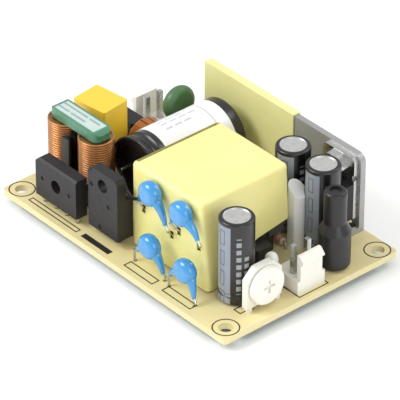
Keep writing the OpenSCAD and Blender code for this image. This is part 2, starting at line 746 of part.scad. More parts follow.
// The winding of the toroid, with a groove between neighbouring turns
module toroid_winding() {
    groove = 0.3;
    section = [(toroid_d - toroid_bore) / 2, toroid_w];
    color([0.79, 0.45, 0.16]) translate(in_3d(toroid_c, toroid_z)) rotate([0, 90, 0]) difference() {
        translate([0, 0, -toroid_w / 2]) rotate_extrude() difference() {
            translate([toroid_bore / 2, 0]) round_rect(section[0], section[1], toroid_wire_d);
            translate([toroid_bore / 2 + toroid_wire_d, toroid_wire_d])
                square([section[0] - 2 * toroid_wire_d, section[1] - 2 * toroid_wire_d]);
        }
        for (i = [0:toroid_turns - 1]) {
            rotate([0, 0, (i + 0.5) * 360 / toroid_turns]) {
                translate([toroid_d / 2 - groove, -groove / 2, -toroid_w]) cube([1, groove, 2 * toroid_w]);
            }
        }
    }
}

module toroid_leads() {
    color([0.79, 0.45, 0.16]) for (p = toroid_leads_at) {
        difference() {
            round_lead(p, toroid_wire_d, toroid_z - board_t - toroid_d / 4);
            translate(in_3d(toroid_c, toroid_z)) rotate([0, 90, 0])
                cylinder(d = toroid_d + 2 * fit, h = toroid_w + 2 * fit, center = true);
        }
    }
}

module thermistor() {
    color([0.29, 0.44, 0.27]) translate(in_3d(thermistor_c, board_t + thermistor_height)) rotate([0, 90, 0])
        translate([0, 0, -thermistor_t / 2]) rotate_extrude() difference() {
            translate([-thermistor_d / 2, 0]) round_rect(thermistor_d, thermistor_t, 0.46 * thermistor_t);
            translate([-thermistor_d, -1]) square([thermistor_d, thermistor_t + 2]);
        }
}

module thermistor_leads() {
    color([0.75, 0.75, 0.73]) for (p = thermistor_leads_at) {
        difference() {
            round_lead(p, thermistor_lead_d, thermistor_height);
            thermistor();
        }
    }
}

module fuse() {
    color([0.16, 0.13, 0.12]) translate(in_3d(fuse_c, board_t + fuse_standoff)) round_block(fuse_size, 0.8);
}

module fuse_leads() {
    color([0.75, 0.75, 0.73]) for (p = fuse_leads_at) {
        round_lead(p, fuse_lead_d, fuse_standoff);
    }
}

// The can lies on its side with its sealed end to the front
module bulk_capacitor() {
    color([0.12, 0.12, 0.13]) translate(in_3d(bulk_c, bulk_z)) rotate([-90, 0, 0])
        rotate_extrude($fn = 64) can_section(bulk_d, bulk_l, 0.14 * bulk_d);
}

module bulk_capacitor_leads() {
    bend = 1.4;
    color([0.75, 0.75, 0.73]) for (i = [0, 1]) {
        p = bulk_leads_at[i];
        z = bulk_z + bulk_leads[i][1];
        translate(in_3d(p, -lead_tail)) cylinder(d = bulk_lead_d, h = lead_tail + z - bend);
        translate([p[0], p[1] + bend, z - bend]) rotate([90, 0, -90])
            rotate_extrude(angle = 90) translate([bend, 0]) circle(d = bulk_lead_d);
        translate([p[0], p[1] + bend, z]) rotate([-90, 0, 0])
            cylinder(d = bulk_lead_d, h = bulk_lead_reach - bend + 0.025 * bulk_d);
        solder(p, bulk_lead_d);
    }
}

// Transformer

// Plan of the ferrite core's top and bottom, waisted in the middle of its long sides
module core_plan() {
    difference() {
        translate([-tr_core_l / 2, -tr_core_w / 2]) round_rect(tr_core_l, tr_core_w, tr_core_r);
        for (side = [-1, 1]) {
            translate([side * (tr_core_l / 2 - tr_waist / 2), 0]) square([tr_waist + 0.01, tr_window_w], center = true);
        }
    }
}

// One half of the core, standing on z = 0, with its two legs and round centre post
module core_half(h) {
    linear_extrude(tr_slab_t) core_plan();
    for (side = [-1, 1]) {
        translate([-tr_core_l / 2, side > 0 ? tr_window_w / 2 : -tr_core_w / 2, 0])
            linear_extrude(h) round_rect(tr_core_l, tr_leg_w, tr_core_r);
    }
    cylinder(d = tr_post_d, h = h);
}

module transformer_core() {
    half = (tr_core_top - tr_core_z - core_gap) / 2;
    color([0.2, 0.2, 0.2]) translate([tr_c[0], tr_core_mid, board_t]) {
        translate([0, 0, tr_core_z]) core_half(half);
        translate([0, 0, tr_core_top]) mirror([0, 0, 1]) core_half(half);
    }
}

module transformer_bobbin() {
    low = tr_core_z + tr_slab_t + fit;
    high = tr_core_top - tr_slab_t - fit;
    flange = [tr_core_l - fit, tr_window_w - 2 * fit, tr_flange_t];
    rail_l = 4 * tr_pin_pitch + 3;
    riser = [tr_waist - 2 * fit, tr_window_w - 1, low - tr_core_z + fit];
    color([0.1, 0.1, 0.11]) translate([tr_c[0], tr_core_mid, board_t]) difference() {
        union() {
            translate([0, 0, low]) round_block(flange, 0.5);
            translate([0, 0, high - tr_flange_t]) round_block(flange, 0.5);
            translate([0, 0, low]) cylinder(d = tr_tube_d, h = high - low);
            for (side = [-1, 1]) {
                translate([side * tr_pin_x, 0, 0.6]) translate([-tr_rail_w / 2, -rail_l / 2, 0])
                    cube([tr_rail_w, rail_l, tr_core_z - fit - 0.6]);
                translate([side * (tr_core_l - riser[0]) / 2, 0, 1]) translate([-riser[0] / 2, -riser[1] / 2, 0])
                    cube([riser[0], riser[1], low + tr_flange_t - 1]);
            }
        }
        cylinder(d = tr_post_d + 2 * fit, h = tr_h);
    }
}

// The taped coil fills the window and bulges out where the core is waisted
module transformer_winding() {
    low = tr_core_z + tr_slab_t + tr_flange_t + 2 * fit;
    high = tr_core_top - tr_slab_t - tr_flange_t - 2 * fit;
    bulge = [tr_core_l - 2 * apart, tr_window_w - 2 * apart, high - low];
    color([0.85, 0.75, 0.3]) translate([tr_c[0], tr_core_mid, board_t + low]) difference() {
        round_block(bulge, 2);
        translate([0, 0, -1]) cylinder(d = tr_tube_d + 2 * fit, h = tr_h);
    }
}

// The taped block, drawn in by an inset, flared at its lower right corners and soft along its upper edges
module tape_block(inset) {
    r = tape_r - inset;
    half = [tr_l / 2 - tape_r, tr_w / 2 - tape_r];
    translate(in_3d(tr_c, board_t)) hull() {
        for (x = [-1, 1], y = [-1, 1]) {
            flare = x < 0 ? 0 : y < 0 ? tape_flare : 0.5 * tape_flare;
            translate([x * half[0] + flare, y * half[1], 0.4 - inset]) cylinder(r = r, h = 0.1, $fn = 32);
            translate([x * half[0], y * half[1], tr_h - tape_r]) sphere(r, $fn = 32);
        }
    }
}

module transformer_tape() {
    strip = 1.2;
    flap_cut = [[5.3, -1], [5.3, 2.6], [15.2, 7.3], [tr_w + 2, 8.4], [tr_w + 2, -1]];
    color([0.96, 0.94, 0.7]) difference() {
        tape_block(0);
        tape_block(tape_t);
        translate([tr_left + tape_t, tr_front + 0.9, board_t + tr_h - 0.9])
            cube([strip, tr_w - 1.8, 2]);
        translate([tr_c[0], tr_front, board_t]) rotate([90, 0, 90]) linear_extrude(tr_l) polygon(flap_cut);
        translate([tr_left - 1, tr_front + 5, board_t - 1]) cube([tr_l / 2 + 2, tr_w, 3.4]);
        for (c = [ycaps[0], ycaps[1]], i = [1, 2]) {
            translate([tr_left + c[i][0] - ycap_slot_w / 2, tr_front - 1, board_t + c[i + 2][2] - 4.4])
                cube([ycap_slot_w, 1 + tape_t + 0.1, 2.2]);
        }
    }
}

module transformer_pins() {
    color([0.75, 0.75, 0.73]) for (p = tr_pins_at) {
        round_lead(p, tr_pin_d, 0.6);
    }
}

// Safety capacitors

// The path of one of a disc's two drawn out tails, from inside the disc to its tip
function ycap_tail(c, i) =
    let (side = i == 3 ? -1 : 1, start = c[0] + ycap_corner + [side * 0.28 * ycap_d, 0, -0.14 * ycap_d],
        tip = c[i] + ycap_corner,
        bend = [(start[0] + 2 * tip[0]) / 3, (start[1] + tip[1]) / 2, start[2] - 0.25 * (start[2] - tip[2])])
    curve(start, bend, tip, ycap_steps);

module ycap_body(c) {
    head = c[0] + ycap_corner;
    translate(head + [0, -ycap_t / 2, 0]) rotate([-90, 0, 0]) rotate_extrude() difference() {
        translate([-ycap_d / 2, 0]) round_rect(ycap_d, ycap_t, 0.46 * ycap_t);
        translate([-ycap_d, -1]) square([ycap_d, ycap_t + 2]);
    }
    for (i = [3, 4]) {
        tube(ycap_tail(c, i), [for (k = [0:ycap_steps]) 1.35 - (1.35 - ycap_tip_r) * k / ycap_steps], 12);
    }
}

module y_capacitor_1() {
    color([0.29, 0.64, 0.85]) ycap_body(ycaps[0]);
}

module y_capacitor_2() {
    color([0.29, 0.64, 0.85]) ycap_body(ycaps[1]);
}

module y_capacitor_3() {
    color([0.29, 0.64, 0.85]) ycap_body(ycaps[2]);
}

module y_capacitor_4() {
    color([0.29, 0.64, 0.85]) ycap_body(ycaps[3]);
}

// Leads of the discs: the upper pair pass through slots and run down behind the tape
module y_capacitor_leads() {
    r = ycap_lead_d / 2;
    color([0.75, 0.75, 0.73]) for (c = ycaps, i = [1, 2]) {
        tip = c[i + 2] + ycap_corner;
        down = heading(ycap_tail(c, i + 2), ycap_steps);
        foot = [tr_left + c[i][0], tr_front + c[i][1], -lead_tail];
        side = i == 1 ? -1 : 1;
        behind = c[i][1] > 0;
        slot = [foot[0], tr_front + tape_t / 2, tip[2] - 3];
        kink = behind
            ? [tip + [side * 0.8, 0, -0.9], tip + [side * 0.2, 0.5, -1.9], slot, [foot[0], foot[1], tip[2] - 4.2]]
            : [[foot[0] + 0.3 * side, foot[1], max(tip[2] - 0.8, board_t + 0.7)]];
        path = concat([tip - 0.4 * down], kink, [[foot[0], foot[1], board_t], foot]);
        difference() {
            tube(path, [for (k = [1:len(path)]) r], 8);
            tube([tip - 2 * down, tip], [2 * ycap_tip_r, 2 * ycap_tip_r], 12);
        }
        solder([foot[0], foot[1]], ycap_lead_d);
    }
}

// Output side

module output_capacitor(at) {
    color([0.13, 0.13, 0.14]) translate(in_3d(at, board_t + cap_clearance))
        rotate_extrude() can_section(cap_d, cap_h, 0.3 * cap_d);
}

module output_capacitor_1() {
    output_capacitor(caps_at[0]);
}

module output_capacitor_2() {
    output_capacitor(caps_at[1]);
}

module output_capacitor_3() {
    output_capacitor(caps_at[2]);
}

module output_capacitor_leads() {
    color([0.75, 0.75, 0.73]) for (p = cap_leads_at) {
        round_lead(p, cap_lead_d, cap_clearance + 0.025 * cap_d);
    }
}

// The plate stands on two feet that are bent from its lower edge
module heatsink() {
    width = heatsink_x[1] - heatsink_x[0];
    corner = 2;
    color([0.68, 0.69, 0.69]) difference() {
        union() {
            translate([heatsink_x[0], heatsink_y + heatsink_t, board_t]) rotate([90, 0, 0]) linear_extrude(heatsink_t)
                difference() {
                    round_rect(width, heatsink_h, corner);
                    translate([-1, -1]) square([width + 2, 1 + corner]);
                }
            for (x = feet_x) {
                translate([x - foot_w / 2, heatsink_y - foot_depth, board_t]) cube([foot_w, foot_depth + heatsink_t, heatsink_t]);
                translate([x - foot_w / 2, heatsink_y, board_t]) cube([foot_w, heatsink_t, corner + 0.1]);
            }
        }
        for (p = feet_at) {
            translate(in_3d(p, board_t - 1)) cylinder(d = foot_pin_d + 2 * fit, h = heatsink_t + 2);
        }
        translate([rectifier_x, heatsink_y + heatsink_t + 1, screw_z]) rotate([90, 0, 0])
            cylinder(d = screw_d + 2 * fit, h = heatsink_t + 2);
        translate([rectifier_x, heatsink_y + heatsink_t - screw_head_h, screw_z]) rotate([-90, 0, 0])
            cylinder(d1 = screw_d + 2 * fit, d2 = screw_head_d + 2 * fit, h = screw_head_h);
    }
}

module heatsink_pins() {
    head_h = 0.5;
    color([0.75, 0.75, 0.73]) for (p = feet_at) {
        round_lead(p, foot_pin_d, heatsink_t);
        translate(in_3d(p, board_t + heatsink_t)) cylinder(d = foot_pin_head_d, h = head_h);
    }
}

// Tape folded over the upper edge of the plate
module heatsink_tape() {
    low = 2.4;
    t = tape_t - fit;
    color([0.93, 0.92, 0.66]) translate([heatsink_x[0] - tape_t, heatsink_y - fit - t, board_t + low])
        difference() {
            cube([heatsink_tape_l, heatsink_t + 2 * fit + 2 * t, heatsink_h - low + fit + t]);
            translate([-1, t, -1]) cube([heatsink_tape_l + 2, heatsink_t + 2 * fit, heatsink_h - low + fit + 1]);
        }
}

module rectifier_body() {
    depth = rectifier_t - rectifier_tab_t;
    draft = 0.25;
    color([0.15, 0.15, 0.16]) translate([rectifier_x - rectifier_w / 2, heatsink_y - rectifier_tab_t, board_t + rectifier_standoff])
        difference() {
            rotate([90, 0, 90]) linear_extrude(rectifier_w)
                polygon([[0, 0], [-depth + draft, 0], [-depth, 2], [-depth, rectifier_body_h - 1.5],
                    [-depth + 2 * draft, rectifier_body_h], [0, rectifier_body_h]]);
            translate([rectifier_w / 2, apart - depth, 0.72 * rectifier_body_h]) rotate([90, 0, 0]) cylinder(d = 1.4, h = 1);
        }
}

module rectifier_tab() {
    notch = 1.2;
    height = rectifier_body_h + rectifier_tab_h;
    step = rectifier_body_h + 0.8;
    color([0.72, 0.72, 0.71]) translate([rectifier_x, heatsink_y, board_t + rectifier_standoff]) rotate([90, 0, 0])
        linear_extrude(rectifier_tab_t) difference() {
            polygon([[-rectifier_w / 2, 0], [rectifier_w / 2, 0], [rectifier_w / 2, step],
                [rectifier_w / 2 - 0.5, step], [rectifier_w / 2 - 0.5, step + notch], [rectifier_w / 2, step + notch],
                [rectifier_w / 2, height - 0.8], [rectifier_w / 2 - 0.8, height], [0.8 - rectifier_w / 2, height],
                [-rectifier_w / 2, height - 0.8], [-rectifier_w / 2, step + notch], [0.5 - rectifier_w / 2, step + notch],
                [0.5 - rectifier_w / 2, step], [-rectifier_w / 2, step]]);
            translate([0, height - rectifier_hole_drop]) circle(d = screw_d + 0.6);
        }
}

module rectifier_leads() {
    color([0.75, 0.75, 0.73]) for (p = rectifier_leads_at) {
        flat_lead(p, rectifier_lead, rectifier_standoff);
        translate(in_3d(p - [0.65, 0.25], board_t + 0.4)) cube([1.3, 0.5, rectifier_standoff - 0.4]);
    }
}

module rectifier_screw() {
    reach = rectifier_tab_t + nut_h + 0.7;
    color([0.78, 0.78, 0.76]) translate([rectifier_x, heatsink_y + heatsink_t, screw_z]) rotate([90, 0, 0]) difference() {
        union() {
            cylinder(d1 = screw_head_d, d2 = screw_d, h = screw_head_h);
            cylinder(d = screw_d, h = heatsink_t + reach);
        }
        for (turn = [0, 90]) {
            rotate([0, 0, turn]) translate([-0.3 * screw_head_d, -0.25, -1]) cube([0.6 * screw_head_d, 0.5, 1.7]);
        }
    }
}

module rectifier_nut() {
    color([0.78, 0.78, 0.76]) translate([rectifier_x, heatsink_y - rectifier_tab_t, screw_z]) rotate([90, 0, 0])
        difference() {
            intersection() {
                cylinder(d = nut_w / cos(30), h = nut_h, $fn = 6);
                cylinder(d1 = nut_w / cos(30), d2 = nut_w + 0.1, h = nut_h);
            }
            translate([0, 0, -1]) cylinder(d = screw_d + 0.04, h = nut_h + 2);
        }
}

// A rod core winding in heat shrink sleeve, waisted above the winding
module output_choke() {
    r = output_choke_d / 2;
    neck = output_choke_neck_d / 2;
    edge = 0.8;
    slope_h = 2 * (r - neck);
    top = output_choke_h;
    color([0.12, 0.12, 0.13]) translate(in_3d(output_choke_c, board_t + 0.4)) rotate_extrude() difference() {
        union() {
            translate([0, edge]) square([r, output_choke_shoulder - edge]);
            square([r - edge, output_choke_shoulder]);
            translate([r - edge, edge]) circle(edge);
            translate([0, output_choke_shoulder]) polygon([[0, 0], [r, 0], [neck, slope_h], [0, slope_h]]);
            square([neck, top - edge]);
            square([neck - edge, top]);
            translate([neck - edge, top - edge]) circle(edge);
        }
        translate([-1, top - 0.5]) square([1 + neck - 1.2, 1]);
    }
}

module output_choke_leads() {
    color([0.75, 0.75, 0.73]) for (p = output_choke_leads_at) {
        round_lead(p, output_choke_lead_d, 0.4);
    }
}

module output_connector() {
    color([0.94, 0.93, 0.88]) translate(in_3d(output_c, board_t)) connector();
}

module output_connector_pins() {
    color([0.8, 0.8, 0.78]) for (p = output_pins_at) {
        flat_lead(p, [contact_w, contact_w], contact_h);
    }
}

module indicator_lamp() {
    flange = 1;
    body = 2.6;
    color([0.85, 0.87, 0.82]) translate(in_3d(lamp_c, board_t + lamp_height)) {
        difference() {
            cylinder(d = lamp_d + 0.8, h = flange);
            translate([-lamp_d, lamp_d / 2 + 0.1, -1]) cube([2 * lamp_d, lamp_d, flange + 2]);
        }
        cylinder(d = lamp_d, h = body);
        intersection() {
            translate([0, 0, body]) sphere(d = lamp_d);
            translate([0, 0, body]) cylinder(d = 2 * lamp_d, h = lamp_d);
        }
    }
}

module indicator_lamp_leads() {
    color([0.75, 0.75, 0.73]) for (p = lamp_leads_at) {
        flat_lead(p, [0.45, 0.45], lamp_height);
    }
}

// Outline of the trimmer housing, its spindle hole on the origin
module trimmer_outline() {
    half = trimmer_w / 2;
    corner = 0.26 * trimmer_w;
    polygon([[-half, 1 - trimmer_height], [half, 1 - trimmer_height], [half, half - corner],
        [half - corner, half], [corner - half, half], [-half, half - corner]]);
}

module trimmer_housing() {
    color([0.9, 0.89, 0.84]) translate([housing_x, trimmer_c[1], trimmer_z]) difference() {
        union() {
            rotate([90, 0, 90]) linear_extrude(trimmer_t) trimmer_outline();
            for (y = [-0.4, 0.4]) {
                translate([0, y * trimmer_w - 0.5, -trimmer_height]) cube([trimmer_t, 1, 1.2]);
            }
        }
        translate([-1, 0, 0]) rotate([0, 90, 0]) cylinder(d = spindle_d + 2 * spindle_gap, h = trimmer_t + 2);
    }
}

// The rotor disc and its spindle, with a cross slot for a screwdriver
module trimmer_rotor() {
    slot = [0.35 * rotor_d, 0.7, 0.5];
    color([0.93, 0.93, 0.9]) translate([trimmer_c[0], trimmer_c[1], trimmer_z]) rotate([0, 90, 0]) difference() {
        union() {
            translate([0, 0, -rotor_t]) cylinder(d = rotor_d, h = rotor_t - 0.3);
            translate([0, 0, -0.3]) cylinder(d1 = rotor_d, d2 = rotor_d - 0.6, h = 0.3);
            translate([0, 0, -rotor_t - rotor_gap - trimmer_t - 0.4])
                cylinder(d = spindle_d, h = rotor_t + rotor_gap + trimmer_t);
        }
        for (turn = [0, 90]) {
            rotate([0, 0, turn]) translate([-slot[0] / 2, -slot[1] / 2, -slot[2]]) cube([slot[0], slot[1], 1]);
        }
    }
}

module trimmer_terminals() {
    color([0.75, 0.75, 0.73]) for (p = trimmer_leads_at) {
        round_lead(p, small_lead_d, 1);
    }
}

// A small moulded package with one flat side, on three leads
module shunt_regulator() {
    r = 2.3;
    standoff = 1.8;
    color([0.14, 0.14, 0.15]) {
        translate(in_3d(shunt_c, board_t + standoff)) linear_extrude(4.4) difference() {
            circle(r);
            translate([1.3, -r]) square(2 * r);
        }
        for (p = shunt_leads_at) {
            round_lead(p, small_lead_d, standoff);
        }
    }
}

// An axial resistor lying on the board
module resistor() {
    z = 1.3;
    body_l = 3.4;
    bend = 0.6;
    color([0.78, 0.6, 0.5]) {
        translate(in_3d(resistor_c, board_t + z)) rotate([0, 90, 0]) cylinder(d = 1.7, h = body_l, center = true);
        for (side = [-1, 1]) {
            p = resistor_c + [side * resistor_span / 2, 0];
            translate(in_3d(p, -lead_tail)) cylinder(d = small_lead_d, h = lead_tail + board_t + z - bend);
            translate([p[0] - side * bend, p[1], board_t + z - bend]) rotate([90, 0, side > 0 ? 0 : 180])
                rotate_extrude(angle = 90) translate([bend, 0]) circle(d = small_lead_d);
            translate([resistor_c[0] + side * body_l / 2, p[1], board_t + z]) rotate([0, side * 90, 0])
                cylinder(d = small_lead_d, h = (resistor_span - body_l) / 2 - bend);
            solder(p, small_lead_d);
        }
    }
}

// A four lead package, its leads bent down from its two sides
module optocoupler() {
    size = [6.2, 4.6, 3.4];
    z = 0.6;
    lead_z = z + 1.6;
    color([0.9, 0.9, 0.88]) {
        translate(in_3d(opto_c, board_t + z)) round_block(size, 0.3);
        for (p = opto_leads_at) {
            side = p[0] > opto_c[0] ? 1 : -1;
            round_lead(p, small_lead_d, lead_z);
            translate([opto_c[0] + side * (size[0] / 2 + 0.35), p[1], board_t + lead_z])
                cube([0.7 + small_lead_d, small_lead_d, 0.3], center = true);
        }
    }
}

// Underside: the switching controller and the small chip parts, soldered flat to the board
module controller_chip() {
    size = [4.9, 3.9, 1.4];
    color([0.14, 0.14, 0.15]) translate(in_3d(chip_c, 0)) {
        translate([0, 0, -0.1 - size[2]]) round_block(size, 0.2);
        for (i = [-1.5:1:1.5], side = [-1, 1]) {
            translate([i * 1.27 - 0.2, side > 0 ? size[1] / 2 : -size[1] / 2 - 1, -0.9]) cube([0.4, 1, 0.2]);
            translate([i * 1.27 - 0.2, side > 0 ? size[1] / 2 + 0.8 : -size[1] / 2 - 1, -0.9]) cube([0.4, 0.2, 0.9]);
        }
    }
}

module chip_parts() {
    color([0.25, 0.22, 0.2]) for (i = [0:3], j = [0:2]) {
        translate([bulk_c[0] + (i - 1.5) * 3.6 - 1, bulk_c[1] + 8 + j * 5, -0.55]) cube([2, 1.25, 0.55]);
    }
}

// A bead of silicone that ties two output capacitors to the back of the transformer, its top sloping to the right
module adhesive() {
    bead_r = 2;
    bead_c = [tr_right + 0.8, tr_back + 1.8];
    heights = [tr_h - 4, tr_h - 7];
    color([0.94, 0.94, 0.93]) intersection() {
        translate([0, 0, board_t]) linear_extrude(tr_h) difference() {
            translate(bead_c) circle(bead_r);
            translate([bead_c[0] - 2 * bead_r, tr_back + fit - 2 * bead_r]) square([4 * bead_r, 2 * bead_r]);
            for (i = [0, 1]) {
                translate(caps_at[i]) circle(d = cap_d + 2 * fit);
            }
        }
        translate([bead_c[0], bead_c[1] + bead_r, 0]) rotate([90, 0, 0]) linear_extrude(2 * bead_r)
            polygon([[-bead_r, 0], [bead_r, 0], [bead_r, heights[1]], [-bead_r, heights[0]]]);
    }
}

circuit_board();
bridge_rectifier();
bridge_leads();
switch_transistor();
switch_leads();
choke_core();
choke_bobbin();
choke_coil_left();
choke_coil_right();
choke_pins();
film_capacitor();
film_capacitor_leads();
input_connector();
input_connector_pins();
toroid_core();
toroid_winding();
toroid_leads();
thermistor();
thermistor_leads();
fuse();
fuse_leads();
bulk_capacitor();
bulk_capacitor_leads();
transformer_core();
transformer_bobbin();
transformer_winding();
transformer_tape();
transformer_pins();
y_capacitor_1();
y_capacitor_2();
y_capacitor_3();
y_capacitor_4();
y_capacitor_leads();
output_capacitor_1();
output_capacitor_2();
output_capacitor_3();
output_capacitor_leads();
heatsink();
heatsink_pins();
heatsink_tape();
rectifier_body();
rectifier_tab();
rectifier_leads();
rectifier_screw();
rectifier_nut();
output_choke();
output_choke_leads();
output_connector();
output_connector_pins();
indicator_lamp();
indicator_lamp_leads();
trimmer_housing();
trimmer_rotor();
trimmer_terminals();
shunt_regulator();
resistor();
optocoupler();
controller_chip();
chip_parts();
adhesive();
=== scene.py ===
import math

import bpy
from mathutils import Matrix, Vector


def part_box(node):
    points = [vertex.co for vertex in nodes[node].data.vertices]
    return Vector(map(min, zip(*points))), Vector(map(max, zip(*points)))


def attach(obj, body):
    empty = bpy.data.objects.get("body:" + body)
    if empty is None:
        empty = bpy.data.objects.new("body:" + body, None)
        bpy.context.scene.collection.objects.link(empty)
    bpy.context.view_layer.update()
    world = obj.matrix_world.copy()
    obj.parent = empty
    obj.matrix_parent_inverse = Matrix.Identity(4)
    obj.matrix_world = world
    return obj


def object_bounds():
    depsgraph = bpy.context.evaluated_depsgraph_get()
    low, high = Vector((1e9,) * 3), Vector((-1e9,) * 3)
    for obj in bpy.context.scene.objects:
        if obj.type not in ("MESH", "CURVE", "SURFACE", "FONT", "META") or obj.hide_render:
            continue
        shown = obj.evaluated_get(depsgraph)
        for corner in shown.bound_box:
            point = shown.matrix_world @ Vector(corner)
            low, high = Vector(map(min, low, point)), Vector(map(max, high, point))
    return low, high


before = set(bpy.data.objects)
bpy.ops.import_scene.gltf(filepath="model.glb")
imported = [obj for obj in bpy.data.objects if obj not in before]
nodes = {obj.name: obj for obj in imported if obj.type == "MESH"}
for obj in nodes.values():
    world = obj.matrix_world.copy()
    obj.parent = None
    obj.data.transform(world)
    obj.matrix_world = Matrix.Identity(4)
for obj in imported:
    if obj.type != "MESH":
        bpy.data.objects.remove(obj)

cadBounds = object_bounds()
mm = 0.001
print("frame loaded,", len(nodes), "nodes")

# Camera
cameraSettings = {
    "azimuth": 49.0,  # degrees round the object, 0 is the long front side
    "elevation": 34.23,
    "roll": 0.165,
    "distance": 0.8094,
    "lens": 328.39,
    "aim": (0, 0, 0.0116),
    "slide": (0.000516, -0.0040285),  # the camera's own shift to the right and up
}


def addCamera(settings):
    az, el, roll = (math.radians(settings[k]) for k in ("azimuth", "elevation", "roll"))
    back = Vector((math.sin(az) * math.cos(el), -math.cos(az) * math.cos(el), math.sin(el)))
    right = Vector((math.cos(az), math.sin(az), 0))
    up = back.cross(right)
    right, up = right * math.cos(roll) + up * math.sin(roll), up * math.cos(roll) - right * math.sin(roll)
    place = Vector(settings["aim"]) + right * settings["slide"][0] + up * settings["slide"][1]
    place += back * settings["distance"]
    data = bpy.data.cameras.new("camera")
    data.lens = settings["lens"]
    data.sensor_width = 36
    data.clip_end = 20
    made = bpy.data.objects.new("camera", data)
    bpy.context.scene.collection.objects.link(made)
    turn = Matrix((right, up, back)).transposed().to_4x4()
    made.matrix_world = Matrix.Translation(place) @ turn
    bpy.context.scene.camera = made


addCamera(cameraSettings)


# Shader tools: Term lets ordinary arithmetic build Math nodes, Look builds one material
class Term:
    def __init__(self, look, socket):
        self.look, self.socket = look, socket

    def do(self, operation, *others, clamp=False):
        return self.look.math(operation, self, *others, clamp=clamp)

    def __add__(self, other):
        return self.do("ADD", other)

    def __radd__(self, other):
        return self.do("ADD", other)

    def __sub__(self, other):
        return self.do("SUBTRACT", other)

    def __rsub__(self, other):
        return self.look.math("SUBTRACT", other, self)

    def __mul__(self, other):
        return self.do("MULTIPLY", other)

    def __rmul__(self, other):
        return self.do("MULTIPLY", other)

    def __truediv__(self, other):
        return self.do("DIVIDE", other)

    def __rtruediv__(self, other):
        return self.look.math("DIVIDE", other, self)

    def above(self, level, blur=0.02):  # 0 below the level and 1 above it
        return self.do("MULTIPLY_ADD", 1 / blur, 0.5 - level / blur, clamp=True)

    def below(self, level, blur=0.02):
        return self.do("MULTIPLY_ADD", -1 / blur, 0.5 + level / blur, clamp=True)

    def between(self, low, high, blur=0.02):
        return self.above(low, blur) * self.below(high, blur)

    def atLeast(self, other):
        return self.do("MAXIMUM", other)


def tint(code):  # a display colour such as "e8dca8" as linear red, green and blue
    parts = [int(code[i:i + 2], 16) / 255 for i in (0, 2, 4)]
    return tuple(p / 12.92 if p <= 0.04045 else ((p + 0.055) / 1.055) ** 2.4 for p in parts)


class Look:
    def __init__(self, name, color, roughness=0.5, metallic=0.0, **sockets):
        self.material = bpy.data.materials.new(name)
        self.material.use_nodes = True
        self.tree = self.material.node_tree
        self.shader = self.tree.nodes["Principled BSDF"]
        self.color = tint(color) if isinstance(color, str) else color
        self.set("Base Color", self.color)
        self.set("Roughness", roughness)
        self.set("Metallic", metallic)
        for key, value in sockets.items():
            self.set(key.replace("_", " "), value)
        self.made = {}

    def plug(self, value, socket):
        if isinstance(value, Term):
            self.tree.links.new(value.socket, socket)
        elif isinstance(value, bpy.types.NodeSocket):
            self.tree.links.new(value, socket)
        elif isinstance(value, tuple) and socket.type == "RGBA" and len(value) == 3:
            socket.default_value = (*value, 1)
        else:
            socket.default_value = value

    def set(self, name, value):
        self.plug(value, self.shader.inputs[name])

    def node(self, kind, settings=None, values=None):
        made = self.tree.nodes.new(kind)
        for key, value in (settings or {}).items():
            setattr(made, key, value)
        for key, value in (values or {}).items():
            self.plug(value, made.inputs[key])
        return made

    def math(self, operation, *terms, clamp=False):
        settings = {"operation": operation, "use_clamp": clamp}
        made = self.node("ShaderNodeMath", settings, dict(enumerate(terms)))
        return Term(self, made.outputs[0])

    def place(self):  # the point's x, y and z in the object's frame, in millimetres
        if "place" not in self.made:
            coords = self.node("ShaderNodeTexCoord")
            scaled = self.node("ShaderNodeVectorMath", {"operation": "SCALE"},
                               {0: coords.outputs["Object"], "Scale": 1000.0})
            split = self.node("ShaderNodeSeparateXYZ", values={0: scaled.outputs[0]})
            self.made["vector"] = scaled.outputs[0]
            self.made["place"] = [Term(self, split.outputs[i]) for i in range(3)]
        return self.made["place"]

    def facing(self):  # the surface normal's x, y and z
        if "facing" not in self.made:
            geometry = self.node("ShaderNodeNewGeometry")
            split = self.node("ShaderNodeSeparateXYZ", values={0: geometry.outputs["Normal"]})
            self.made["facing"] = [Term(self, split.outputs[i]) for i in range(3)]
        return self.made["facing"]

    def noise(self, size, detail=2.0, rough=0.5, stretch=(1, 1, 1), warp=0.0):
        self.place()
        vector = self.made["vector"]
        scaled = self.node("ShaderNodeVectorMath", {"operation": "MULTIPLY"},
                           {0: vector, 1: tuple(s / size for s in stretch)})
        made = self.node("ShaderNodeTexNoise", values={
            "Vector": scaled.outputs[0],
            "Scale": 1.0,
            "Detail": detail,
            "Roughness": rough,
            "Distortion": warp,
        })
        return Term(self, made.outputs["Fac"])

    def mix(self, factor, first, second):
        made = self.node("ShaderNodeMix", {"data_type": "RGBA"})
        self.plug(factor, made.inputs["Factor"])
        for name, value in (("A", first), ("B", second)):
            socket = [s for s in made.inputs if s.name == name and s.type == "RGBA"][0]
            self.plug(tint(value) if isinstance(value, str) else value, socket)
        return [s for s in made.outputs if s.type == "RGBA"][0]

    def bump(self, height, strength=0.3, distance=0.05):  # height 0 to 1, distance in millimetres
        made = self.node("ShaderNodeBump", values={
            "Height": height, "Strength": strength, "Distance": distance * mm})
        if "bump" in self.made:
            self.tree.links.new(self.made["bump"], made.inputs["Normal"])
        self.made["bump"] = made.outputs[0]
        self.set("Normal", made.outputs[0])


def boxMid(node):
    low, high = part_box(node)
    return (low + high) * 500, (high - low) * 500  # centre and half size in millimetres


